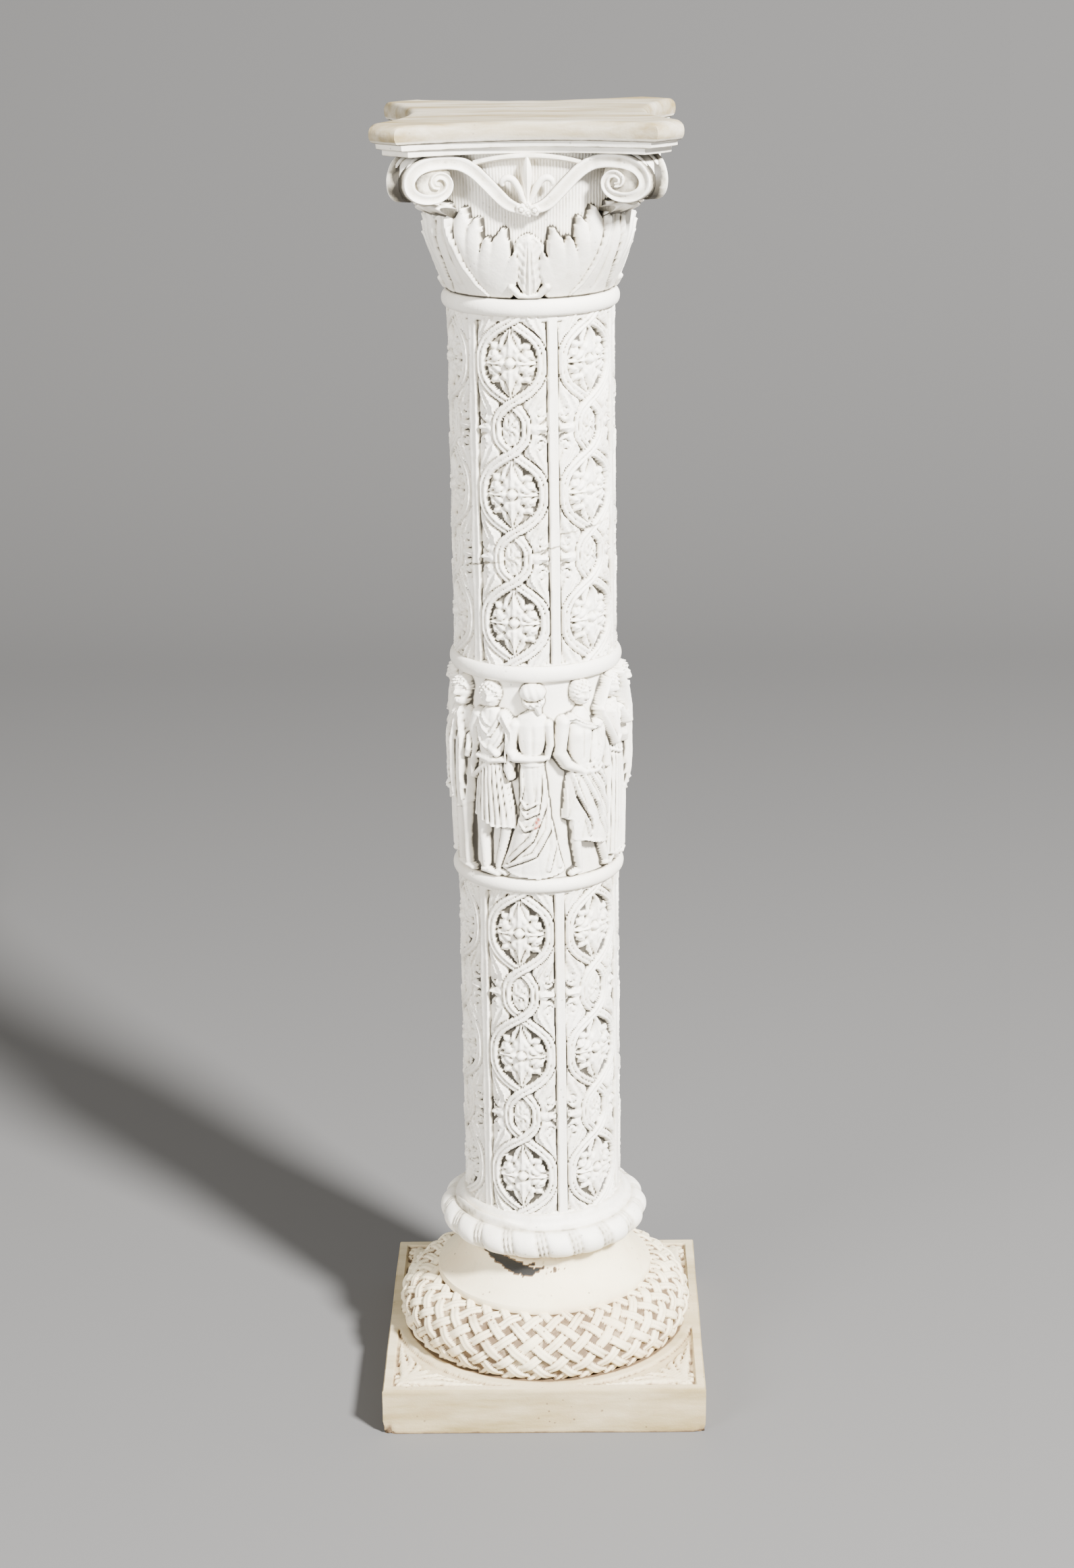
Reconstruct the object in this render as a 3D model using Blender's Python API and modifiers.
"""Carved stone column pedestal: a square base with a plaited torus, a shaft with lattice
panels and a band of standing figures, and a four-cornered leaf capital.

The column stands on the ground at the origin, +Z up, and its front looks along -Y.
All sizes are in metres. Each piece is one closed solid: base, shaft and capital.
"""

import bmesh
import bpy
from math import cos, pi, radians, sin
from mathutils import Matrix, Vector

# Base
PLINTH_SIDE = 0.240
PLINTH_HEIGHT = 0.036
PLINTH_ROUNDING = 0.0015
PLINTH_BORDER = 0.008
PLINTH_PANEL_DEPTH = 0.0015
BASKET_SET_IN = 0.008
BASKET_HEIGHT = 0.041
BASKET_RELIEF = 0.0022
BASKET_START = radians(-38.0)
BASKET_SWEEP = radians(128.0)
BASKET_STRANDS = 25
BASKET_ROWS = 6
COLLAR_RADIUS = 0.082
COLLAR_HEIGHT = 0.006
SCOTIA_HEIGHT = 0.034
SCOTIA_RADIUS = 0.0645
SCOTIA_DEPTH = 0.009
SPANDREL_LEAF_LENGTH = 0.034
SPANDREL_LEAF_WIDTH = 0.017
SPANDREL_LEAF_HEIGHT = 0.0035

# Shaft
SEAM = 0.0003
SHAFT_RADIUS = 0.0586
SHAFT_RELIEF = 0.0032
ROPE_RADIUS = 0.079
ROPE_THICKNESS = 0.022
ROPE_BEADS = 18
ROPE_BEAD_DEPTH = 0.0024
FOOT_HEIGHT = 0.0087
FOOT_RADIUS = 0.062
LOWER_RING_RADIUS = 0.0632
LOWER_RING_THICKNESS = 0.0104
UPPER_RING_RADIUS = 0.0626
UPPER_RING_THICKNESS = 0.012
ASTRAGAL_RADIUS = 0.0632
ASTRAGAL_THICKNESS = 0.012
PANELS = 6
PANEL_TURN = radians(-14.3)
FILLET_WIDTH = 0.0070
STRAND_WIDTH = 0.0066
LARGE_OVAL_WIDTH = 0.0464
SMALL_OVAL_WIDTH = 0.0208
LARGE_OVALS = 3
LOWER_LARGE_OVAL_LENGTH = 0.0595
LOWER_SMALL_OVAL_LENGTH = 0.0371
LOWER_LATTICE_MARGIN = 0.0003
LOWER_LATTICE_BAND = 0.0030
UPPER_LARGE_OVAL_LENGTH = 0.0575
UPPER_SMALL_OVAL_LENGTH = 0.0355
UPPER_LATTICE_MARGIN = 0.0024
UPPER_LATTICE_BAND = 0.0041

# Band of figures
FRIEZE_HEIGHT = 0.1484
FRIEZE_GROUND_RADIUS = 0.0563
FIGURES = 11
FIGURE_TURN = radians(-4.0)
FIGURE_HEADROOM = 0.0009
FIGURE_DEPTH = 0.0096

# Capital
LEAF_TIP_DROP = 0.035
LEAF_RADIUS = 0.0732
LEAF_THICKNESS = 0.0042
LEAF_TIP_REACH = 0.106
BELL_FOOT_RADIUS = 0.0622
BELL_HEIGHT = 0.101
BELL_LIP_RADIUS = 0.0745
BELL_CORNER = 0.012
VOLUTE_RADIUS = 0.0157
VOLUTE_THICKNESS = 0.015
VOLUTE_SPACING = 0.117
VOLUTE_FACE = 0.0775
VOLUTE_TURN = radians(17.0)
CORNER_ROLL_PROUD = 0.0258
CORNER_ROLL_WIDTH = 0.021
STEM_THICKNESS = 0.0085
STEM_DROP = 0.026
BUD_LENGTH = 0.032
BUD_WIDTH = 0.010
ABACUS_SPREAD = 0.212
ABACUS_HORN = 0.026
ABACUS_HOLLOW = 0.022
ABACUS_EDGE = 0.0131
ABACUS_STEP_HEIGHT = 0.0044
ABACUS_STEP_SET_IN = 0.0045
ABACUS_STEPS = 2

# Sizes and levels that follow from those above
BASKET_RADIUS = PLINTH_SIDE / 2 - BASKET_SET_IN
FIGURE_HEIGHT = FRIEZE_HEIGHT - FIGURE_HEADROOM
LEAF_HEIGHT = BELL_HEIGHT - LEAF_TIP_DROP
CORNER_ROLL_REACH = (VOLUTE_SPACING / 2 + VOLUTE_FACE) / 2 ** 0.5 + CORNER_ROLL_PROUD
BASKET_BOTTOM = PLINTH_HEIGHT - PLINTH_PANEL_DEPTH
COLLAR_BOTTOM = PLINTH_HEIGHT + BASKET_HEIGHT
SCOTIA_BOTTOM = COLLAR_BOTTOM + COLLAR_HEIGHT
BASE_TOP = SCOTIA_BOTTOM + SCOTIA_HEIGHT
SHAFT_BOTTOM = BASE_TOP + SEAM
FOOT_BOTTOM = SHAFT_BOTTOM + ROPE_THICKNESS
LOWER_LATTICE_BOTTOM = FOOT_BOTTOM + FOOT_HEIGHT
SMALL_OVALS = LARGE_OVALS - 1
LOWER_LATTICE_HEIGHT = (LOWER_LATTICE_MARGIN + LARGE_OVALS * LOWER_LARGE_OVAL_LENGTH
                        + SMALL_OVALS * LOWER_SMALL_OVAL_LENGTH + LOWER_LATTICE_BAND)
UPPER_LATTICE_HEIGHT = (UPPER_LATTICE_MARGIN + LARGE_OVALS * UPPER_LARGE_OVAL_LENGTH
                        + SMALL_OVALS * UPPER_SMALL_OVAL_LENGTH + UPPER_LATTICE_BAND)
LOWER_RING_BOTTOM = LOWER_LATTICE_BOTTOM + LOWER_LATTICE_HEIGHT
FRIEZE_BOTTOM = LOWER_RING_BOTTOM + LOWER_RING_THICKNESS
UPPER_RING_BOTTOM = FRIEZE_BOTTOM + FRIEZE_HEIGHT
UPPER_LATTICE_BOTTOM = UPPER_RING_BOTTOM + UPPER_RING_THICKNESS
ASTRAGAL_BOTTOM = UPPER_LATTICE_BOTTOM + UPPER_LATTICE_HEIGHT
SHAFT_TOP = ASTRAGAL_BOTTOM + ASTRAGAL_THICKNESS
CAPITAL_BOTTOM = SHAFT_TOP + SEAM
BELL_TOP = CAPITAL_BOTTOM + BELL_HEIGHT
ABACUS_BOTTOM = BELL_TOP
EDGE_BOTTOM = ABACUS_BOTTOM + ABACUS_STEPS * ABACUS_STEP_HEIGHT
COLUMN_HEIGHT = EDGE_BOTTOM + ABACUS_EDGE

# Mesh fineness
RING_POINTS = 4
ROPE_POINTS = 5
ROPE_BEAD_COLUMNS = 2
PANEL_COLUMNS = 8
TURNED_STEPS = 32
SCOTIA_POINTS = 4
ABACUS_ARC = 4
EMBED = 0.004
BASKET_LIP = 0.0006
WELD = 0.000001


def parts_collection():
    """Return the column's collection and a hidden one for the shapes joined to its pieces."""
    shown = bpy.data.collections.new("stone_column_pedestal")
    joined = bpy.data.collections.new("joined_shapes")
    for collection in (shown, joined):
        bpy.context.scene.collection.children.link(collection)
    return shown, joined


def stone(name, colour, roughness):
    """Return a plain stone material."""
    material = bpy.data.materials.new(name)
    material.use_nodes = True
    shader = material.node_tree.nodes["Principled BSDF"]
    shader.inputs["Base Color"].default_value = (*colour, 1.0)
    shader.inputs["Roughness"].default_value = roughness
    shader.inputs["Metallic"].default_value = 0.0
    return material


def mesh_object(name, bm, collection):
    """Turn a bmesh into an object with its faces pointing out."""
    bmesh.ops.recalc_face_normals(bm, faces=bm.faces[:])
    mesh = bpy.data.meshes.new(name)
    bm.to_mesh(mesh)
    bm.free()
    item = bpy.data.objects.new(name, mesh)
    collection.objects.link(item)
    return item


def sleeve(name, columns, rows, place, collection):
    """Wrap a grid round an axis, so that point (column, row) goes where place() says."""
    bm = bmesh.new()
    bmesh.ops.create_grid(bm, x_segments=columns, y_segments=rows, size=1.0)
    for vertex in bm.verts:
        column = round((vertex.co.x + 1.0) / 2.0 * columns)
        row = round((vertex.co.y + 1.0) / 2.0 * rows)
        vertex.co = place(column % columns, row)
    bmesh.ops.remove_doubles(bm, verts=bm.verts[:], dist=WELD)
    edges = [edge for edge in bm.edges if edge.is_boundary]
    bmesh.ops.holes_fill(bm, edges=edges, sides=0)
    return mesh_object(name, bm, collection)


def ball(name, centre, size, sides, rings, collection):
    """Return a sphere with its own half size along each axis."""
    bm = bmesh.new()
    bmesh.ops.create_uvsphere(bm, u_segments=sides, v_segments=rings, radius=1.0)
    for vertex in bm.verts:
        vertex.co = Vector(centre) + Vector(vertex.co[axis] * size[axis] for axis in range(3))
    return mesh_object(name, bm, collection)


def turned(name, profile, steps, collection):
    """Turn a profile of (radius, height) points, top to bottom, round the upright axis."""
    mesh = bpy.data.meshes.new(name)
    points = [(0.0, 0.0, profile[0][1])]
    points += [(radius, 0.0, height) for radius, height in profile]
    points.append((0.0, 0.0, profile[-1][1]))
    edges = [(index, index + 1) for index in range(len(points) - 1)]
    mesh.from_pydata(points, edges, [])
    item = bpy.data.objects.new(name, mesh)
    collection.objects.link(item)
    screw = item.modifiers.new("Turn", "SCREW")
    screw.steps = steps
    screw.render_steps = steps
    screw.use_merge_vertices = True
    screw.merge_threshold = WELD
    screw.use_smooth_shade = False
    return item


def join(piece, shapes):
    """Fuse shapes into a piece, and hide the shapes."""
    for shape in shapes:
        shape.hide_render = True
        shape.display_type = "WIRE"
        fuse = piece.modifiers.new("Join " + shape.name, "BOOLEAN")
        fuse.operation = "UNION"
        fuse.solver = "EXACT"
        fuse.object = shape


def around(angle, radius, height):
    """Return the point at an angle from the front, positive towards +X."""
    return Vector((radius * sin(angle), -radius * cos(angle), height))


def arc(radius_in, radius_out, bottom, thickness, points):
    """Return (radius, height) points up the outside of a half-round ring."""
    result = []
    for index in range(points):
        angle = -pi / 2 + pi * index / (points - 1)
        radius = radius_in + (radius_out - radius_in) * cos(angle)
        result.append((radius, bottom + thickness / 2 * (1 + sin(angle))))
    return result


def make_plinth(collection):
    """Square slab with rounded edges and a sunk panel inside its border."""
    bm = bmesh.new()
    bmesh.ops.create_cube(bm, size=1.0)
    for vertex in bm.verts:
        vertex.co.x *= PLINTH_SIDE
        vertex.co.y *= PLINTH_SIDE
        vertex.co.z = (vertex.co.z + 0.5) * PLINTH_HEIGHT
    edges = [edge for edge in bm.edges if max(end.co.z for end in edge.verts) > 0]
    bmesh.ops.bevel(bm, geom=edges, offset=PLINTH_ROUNDING, affect="EDGES", segments=1,
                    profile=0.5, material=-1)
    bm.normal_update()
    top = max(bm.faces, key=lambda face: face.calc_center_median().z)
    bmesh.ops.inset_region(bm, faces=[top], thickness=PLINTH_BORDER, depth=0.0)
    bmesh.ops.inset_region(bm, faces=[top], thickness=PLINTH_PANEL_DEPTH,
                           depth=-PLINTH_PANEL_DEPTH)
    return mesh_object("base", bm, collection)


def make_basket(collection):
    """Plaited torus: neighbouring points stand proud and lie back in turn."""
    columns = 2 * BASKET_STRANDS

    def place(column, row):
        share = row / BASKET_ROWS
        angle = BASKET_START + BASKET_SWEEP * share
        radius = COLLAR_RADIUS + (BASKET_RADIUS - COLLAR_RADIUS) * max(cos(angle), 0.0)
        lowest = sin(BASKET_START)
        height = BASKET_HEIGHT * (sin(angle) - lowest) / (1.0 - lowest)
        if 0 < row < BASKET_ROWS and (column + row) % 2:
            radius -= BASKET_RELIEF * cos(angle)
            height -= BASKET_RELIEF * max(sin(angle), 0.0)
        level = PLINTH_HEIGHT + height
        if row == 0:
            level = BASKET_BOTTOM - EMBED
        elif row == BASKET_ROWS:
            radius = COLLAR_RADIUS - EMBED
            level = COLLAR_BOTTOM + BASKET_LIP
        return around(2 * pi * column / columns, radius, level)

    return sleeve("basket_torus", columns, BASKET_ROWS, place, collection)


def make_collar(collection):
    """Flat collar over the plaited torus, with the hollow moulding above it."""
    neck = SCOTIA_RADIUS
    profile = []
    for index in range(SCOTIA_POINTS):
        share = index / (SCOTIA_POINTS - 1)
        bulge = (COLLAR_RADIUS - neck) * share ** 2 - SCOTIA_DEPTH * share * (1.0 - share) * 2
        profile.append((neck + bulge, BASE_TOP - SCOTIA_HEIGHT * share))
    profile.append((COLLAR_RADIUS, COLLAR_BOTTOM))
    return turned("collar", profile, TURNED_STEPS, collection)


def make_spandrels(collection):
    """Three leaves in each corner of the plinth, outside the plaited torus."""
    leaves = []
    corner = PLINTH_SIDE / 2 - PLINTH_BORDER
    for index in range(4):
        heading = pi / 4 + index * pi / 2
        for side in (-1, 0, 1):
            length = SPANDREL_LEAF_LENGTH * (1.0 if side else 0.72)
            reach = 2 ** 0.5 * corner - SPANDREL_LEAF_LENGTH * (0.80 if side else 0.52)
            size = (length / 2, SPANDREL_LEAF_WIDTH / 2, SPANDREL_LEAF_HEIGHT)
            leaf = ball("corner_leaf", (0.0, 0.0, 0.0), size, 6, 3, collection)
            middle = Matrix.Rotation(heading, 4, "Z") @ Matrix.Translation(
                (reach, side * SPANDREL_LEAF_WIDTH * 1.05, BASKET_BOTTOM))
            leaf.data.transform(middle @ Matrix.Rotation(side * radians(-45.0), 4, "Z"))
            leaves.append(leaf)
    return leaves


def plain_row(height, radius):
    """Return one row of the shaft's wrapped grid, with evenly spaced points."""
    step = 2 * pi / (PANELS * PANEL_COLUMNS)

    def point(column):
        return around(PANEL_TURN + (column - PANEL_COLUMNS // 2) * step, radius, height)

    return point


def lattice_row(height, width, crossing, boss):
    """Return a row through the lattice: fillet, leaf, strand, ground and centre."""
    ground = SHAFT_RADIUS - SHAFT_RELIEF
    half = STRAND_WIDTH / 2
    border = pi * SHAFT_RADIUS / PANELS
    inner = max(width / 2 - half, STRAND_WIDTH * 0.15)
    ridge = max(width / 2, STRAND_WIDTH * 0.4)
    outer = (max(width / 2 + half, STRAND_WIDTH * 0.75) + border - FILLET_WIDTH / 2) / 2
    leaf = SHAFT_RELIEF * (0.15 if width > SMALL_OVAL_WIDTH * 1.2 else 0.75)
    middle = SHAFT_RELIEF if crossing else 0.0
    offsets = (-border, -outer, -ridge, -inner, 0.0, inner, ridge, outer)
    levels = (SHAFT_RELIEF, leaf, SHAFT_RELIEF, middle, SHAFT_RELIEF * boss,
              middle, SHAFT_RELIEF, leaf)

    def point(column):
        panel, place = divmod(column, PANEL_COLUMNS)
        angle = PANEL_TURN + 2 * pi * panel / PANELS + offsets[place] / SHAFT_RADIUS
        return around(angle, ground + levels[place], height)

    return point


def lattice_rows(bottom, large_length, small_length):
    """Return the rows of one lattice, from its lowest crossing to its highest."""
    rows = []
    for index in range(LARGE_OVALS):
        start = bottom + index * (large_length + small_length)
        for quarter in range(5):
            height = start + large_length * quarter / 4
            width = LARGE_OVAL_WIDTH * sin(pi * quarter / 4)
            crossing = quarter in (0, 4)
            boss = 1.0 if quarter in (0, 2, 4) else 0.55
            rows.append(lattice_row(height, width, crossing, boss))
        if index < SMALL_OVALS:
            height = start + large_length + small_length / 2
            rows.append(lattice_row(height, SMALL_OVAL_WIDTH, False, 0.9))
    return rows


def ring_rows(radius, bottom, thickness):
    """Return the rows round one of the shaft's half-round rings."""
    return [plain_row(height, out)
            for out, height in arc(SHAFT_RADIUS, radius, bottom, thickness, RING_POINTS)]


def shaft_rows():
    """Return the rows of the shaft's wrapped grid, from inside the rope torus to the top."""
    core = FRIEZE_GROUND_RADIUS - EMBED
    rows = [plain_row(FOOT_BOTTOM - EMBED, FOOT_RADIUS)]
    rows.append(plain_row(FOOT_BOTTOM + FOOT_HEIGHT * 0.2, FOOT_RADIUS))
    rows += lattice_rows(LOWER_LATTICE_BOTTOM + LOWER_LATTICE_MARGIN,
                         LOWER_LARGE_OVAL_LENGTH, LOWER_SMALL_OVAL_LENGTH)
    rows += ring_rows(LOWER_RING_RADIUS, LOWER_RING_BOTTOM, LOWER_RING_THICKNESS)
    rows.append(plain_row(FRIEZE_BOTTOM, core))
    rows.append(plain_row(UPPER_RING_BOTTOM, core))
    rows += ring_rows(UPPER_RING_RADIUS, UPPER_RING_BOTTOM, UPPER_RING_THICKNESS)
    rows += lattice_rows(UPPER_LATTICE_BOTTOM + UPPER_LATTICE_MARGIN,
                         UPPER_LARGE_OVAL_LENGTH, UPPER_SMALL_OVAL_LENGTH)
    rows += ring_rows(ASTRAGAL_RADIUS, ASTRAGAL_BOTTOM, ASTRAGAL_THICKNESS)
    return rows


def make_shaft(collection):
    """Foot, both lattices, the three rings and the core of the band in one body."""
    rows = shaft_rows()

    def place(column, row):
        return rows[row](column)

    return sleeve("shaft", PANELS * PANEL_COLUMNS, len(rows) - 1, place, collection)


def make_rope(collection):
    """Rope torus under the shaft's foot, its beads parted by narrow valleys."""
    inner = ROPE_RADIUS - ROPE_THICKNESS / 2
    points = arc(inner, ROPE_RADIUS, SHAFT_BOTTOM, ROPE_THICKNESS, ROPE_POINTS)
    columns = ROPE_BEADS * ROPE_BEAD_COLUMNS

    def place(column, row):
        radius, height = points[row]
        if column % ROPE_BEAD_COLUMNS == 0:
            radius -= ROPE_BEAD_DEPTH * sin(pi * row / (ROPE_POINTS - 1))
        return around(2 * pi * column / columns, radius, height)

    return sleeve("rope_torus", columns, ROPE_POINTS - 1, place, collection)


# Rows up a standing figure, as shares of its height: level, half width and depth.
FIGURE_ROWS = ((0.0, 0.085, 0.0), (0.03, 0.105, 0.8), (0.27, 0.102, 0.85), (0.50, 0.080, 0.8),
               (0.64, 0.080, 1.0), (0.78, 0.098, 0.9), (0.835, 0.035, 0.5), (0.875, 0.055, 0.9),
               (0.95, 0.060, 1.0), (1.0, 0.035, 0.0))
HEM_ROWS = (1, 2)
ELBOW_ROWS = (3, 4)
# Poses in turn: how far the hem, the left elbow and the right elbow stand out, and the lean.
POSES = ((1.35, 1.0, 1.5, 0.010), (1.05, 1.45, 1.2, -0.008), (1.0, 1.0, 1.7, 0.006),
         (1.05, 1.4, 1.1, 0.012), (0.85, 1.3, 1.3, -0.010))
FIGURE_COLUMNS = 4
FIGURE_CLEARANCE = 0.0004


def figure_row(index, height):
    """Return a row through all figures at one level: a side, two front points and a side."""
    level, half_width, depth = FIGURE_ROWS[index]
    pitch = 2 * pi / FIGURES

    def point(column):
        figure, place = divmod(column, FIGURE_COLUMNS)
        hem, left, right, lean = POSES[figure % len(POSES)]
        left_half = half_width
        right_half = half_width
        if index in HEM_ROWS:
            left_half *= hem
            right_half *= hem
        elif index in ELBOW_ROWS:
            left_half *= left
            right_half *= right
        shift = lean * sin(pi * level)
        across = (-left_half, -left_half * 0.5, right_half * 0.5, right_half)[place]
        out = (0.0, 1.0, 1.0, 0.0)[place]
        turn = FIGURE_TURN + pitch * figure
        angle = turn + (across + shift) * FIGURE_HEIGHT / SHAFT_RADIUS
        return around(angle, FRIEZE_GROUND_RADIUS + out * depth * FIGURE_DEPTH, height)

    return point


def make_figures(collection):
    """Drum with its ring of standing figures, sunk at both ends into the rings."""
    bottom = FRIEZE_BOTTOM + FIGURE_CLEARANCE
    rows = [figure_row(0, FRIEZE_BOTTOM - EMBED / 2)]
    for index, (level, half_width, depth) in enumerate(FIGURE_ROWS):
        rows.append(figure_row(index, bottom + level * FIGURE_HEIGHT))
    rows.append(figure_row(0, UPPER_RING_BOTTOM + EMBED / 2))

    def place(column, row):
        return rows[row](column)

    return sleeve("figures", FIGURES * FIGURE_COLUMNS, len(rows) - 1, place, collection)


def tube(name, points, radius, collection):
    """Return a four-sided bar through a few points."""
    def place(column, row):
        angle = pi / 4 + column * pi / 2
        out = Vector((points[row].x, points[row].y, 0.0)).normalized()
        return points[row] + (out * cos(angle) + Vector((0.0, 0.0, 1.0)) * sin(angle)) * radius

    return sleeve(name, 4, len(points) - 1, place, collection)


# Tops of the leaf lobes from the middle of a face to the corner, as shares of the leaf height.
LOBES = (0.70, 0.56, 0.80, 0.66, 1.0, 0.92)
BELL_ROWS = 7


def make_bell(collection):
    """Bell with four corner leaves, whose lobed upper edges stand off its wall."""
    quarter = 2 * (len(LOBES) - 1)

    def place(column, row):
        angle = 2 * pi * column / (4 * quarter)
        from_face = min(column % quarter, quarter - column % quarter)
        corner = 0.5 - 0.5 * cos(4 * angle)
        top = LEAF_HEIGHT * LOBES[from_face]
        tip = from_face == quarter // 2
        leaf_share = (0.0, 0.3, 0.68, 1.0)[min(row, 3)]
        level = top * leaf_share
        if row <= 3:
            spread = sin(pi / 2 * level / LEAF_HEIGHT)
            radius = BELL_FOOT_RADIUS + (LEAF_RADIUS - BELL_FOOT_RADIUS) * spread
            radius += BELL_CORNER * corner * spread
            if tip and row == 3:
                radius = LEAF_TIP_REACH
            return around(angle, radius, CAPITAL_BOTTOM + level)
        wall_share = (0.0, 0.5, 1.0)[row - 5] if row > 4 else 0.0
        if row == 4:
            level = top - LEAF_THICKNESS * (3.0 if tip else 0.8)
            radius = LEAF_RADIUS - LEAF_THICKNESS + BELL_CORNER * corner * 0.8
            return around(angle, radius, CAPITAL_BOTTOM + level)
        start = LEAF_HEIGHT + (BELL_HEIGHT - LEAF_HEIGHT) * 0.15
        level = start + (BELL_HEIGHT - start) * wall_share
        radius = LEAF_RADIUS - LEAF_THICKNESS
        radius += (BELL_LIP_RADIUS - radius) * wall_share ** 2 + BELL_CORNER * corner
        return around(angle, radius, CAPITAL_BOTTOM + level)

    return sleeve("capital", 4 * quarter, BELL_ROWS, place, collection)


def drum(name, radius, length, sides, place, collection):
    """Return a short cylinder, put in its place."""
    bm = bmesh.new()
    bmesh.ops.create_cone(bm, cap_ends=True, segments=sides, radius1=radius,
                          radius2=radius * 0.94, depth=length)
    bm.transform(place)
    return mesh_object(name, bm, collection)


def make_volutes(collection):
    """Pair of spirals on each side of the capital, their corner rolls, stems and buds."""
    shapes = []
    level = BELL_TOP - VOLUTE_RADIUS
    for side in range(4):
        turn = Matrix.Rotation(side * pi / 2, 4, "Z")
        for hand in (-1, 1):
            centre = Matrix.Translation((hand * VOLUTE_SPACING / 2, -VOLUTE_FACE, level))
            lean = Matrix.Rotation(hand * VOLUTE_TURN, 4, "Z") @ Matrix.Rotation(pi / 2, 4, "X")
            shapes.append(drum("volute", VOLUTE_RADIUS, VOLUTE_THICKNESS, 12,
                               turn @ centre @ lean, collection))
            path = []
            for share in (0.0, 0.33, 0.67, 1.0):
                across = hand * (VOLUTE_SPACING / 2 * share - EMBED / 2 * (1.0 - share))
                rise = (1.0 - cos(pi * share)) / 2
                height = level - STEM_DROP + (STEM_DROP + VOLUTE_RADIUS * 0.7) * rise
                path.append(turn @ Vector((across, -VOLUTE_FACE + STEM_THICKNESS * 0.4, height)))
            shapes.append(tube("stem", path, STEM_THICKNESS / 2, collection))
        reach = CORNER_ROLL_REACH - VOLUTE_RADIUS
        corner = (Matrix.Rotation((side + 0.5) * pi / 2, 4, "Z")
                  @ Matrix.Translation((0.0, -reach, level)) @ Matrix.Rotation(pi / 2, 4, "Y"))
        shapes.append(drum("corner_roll", VOLUTE_RADIUS * 0.98, CORNER_ROLL_WIDTH, 10,
                           corner, collection))
        size = (BUD_WIDTH / 2, BUD_WIDTH * 0.8, BUD_LENGTH / 2)
        centre = turn @ Vector((0.0, -BELL_LIP_RADIUS + BUD_WIDTH * 0.2, level - 0.003))
        bud = ball("bud", (0.0, 0.0, 0.0), size, 5, 4, collection)
        bud.data.transform(Matrix.Translation(centre) @ turn)
        shapes.append(bud)
    return shapes


def abacus_outline(set_in):
    """Return the plan of the abacus: cut corners joined by hollow sides."""
    half = ABACUS_SPREAD / 2 - set_in
    horn = half - ABACUS_HORN / 2 ** 0.5
    points = []
    for side in range(4):
        turn = Matrix.Rotation(side * pi / 2, 3, "Z")
        for index in range(ABACUS_ARC + 1):
            share = 2 * index / ABACUS_ARC - 1
            depth = half - ABACUS_HOLLOW * (1.0 - share ** 2)
            points.append(turn @ Vector((share * horn, -depth, 0.0)))
    return points


def make_abacus(collection):
    """Slab with a round edge over stepped fillets."""
    radius = ABACUS_EDGE / 2
    levels = []
    for step in range(ABACUS_STEPS):
        set_in = ABACUS_STEP_SET_IN * (ABACUS_STEPS - step)
        bottom = ABACUS_BOTTOM + step * ABACUS_STEP_HEIGHT
        levels.append((set_in, bottom - (EMBED if step == 0 else 0.0)))
        levels.append((set_in, bottom + ABACUS_STEP_HEIGHT))
    for index in range(RING_POINTS):
        angle = -pi / 2 + pi * (index + 0.35) / (RING_POINTS - 0.3)
        levels.append((radius * (1.0 - cos(angle)) * 0.6, EDGE_BOTTOM + radius * (1 + sin(angle))))
    levels.append((radius * 0.9, COLUMN_HEIGHT))
    outlines = [abacus_outline(set_in) for set_in, height in levels]

    def place(column, row):
        point = outlines[row][column].copy()
        point.z = levels[row][1]
        return point

    return sleeve("abacus", len(outlines[0]), len(levels) - 1, place, collection)


def main():
    for item in list(bpy.data.objects):
        bpy.data.objects.remove(item)
    shown, joined = parts_collection()
    cream = stone("cream_cast_stone", (0.62, 0.56, 0.46), 0.85)
    white = stone("white_cast_stone", (0.74, 0.72, 0.68), 0.8)

    base = make_plinth(shown)
    join(base, [make_basket(joined), make_collar(joined)] + make_spandrels(joined))
    base.data.materials.append(cream)

    shaft = make_shaft(shown)
    join(shaft, [make_rope(joined), make_figures(joined)])
    shaft.data.materials.append(white)

    capital = make_bell(shown)
    join(capital, [make_abacus(joined)] + make_volutes(joined))
    capital.data.materials.append(white)


main()
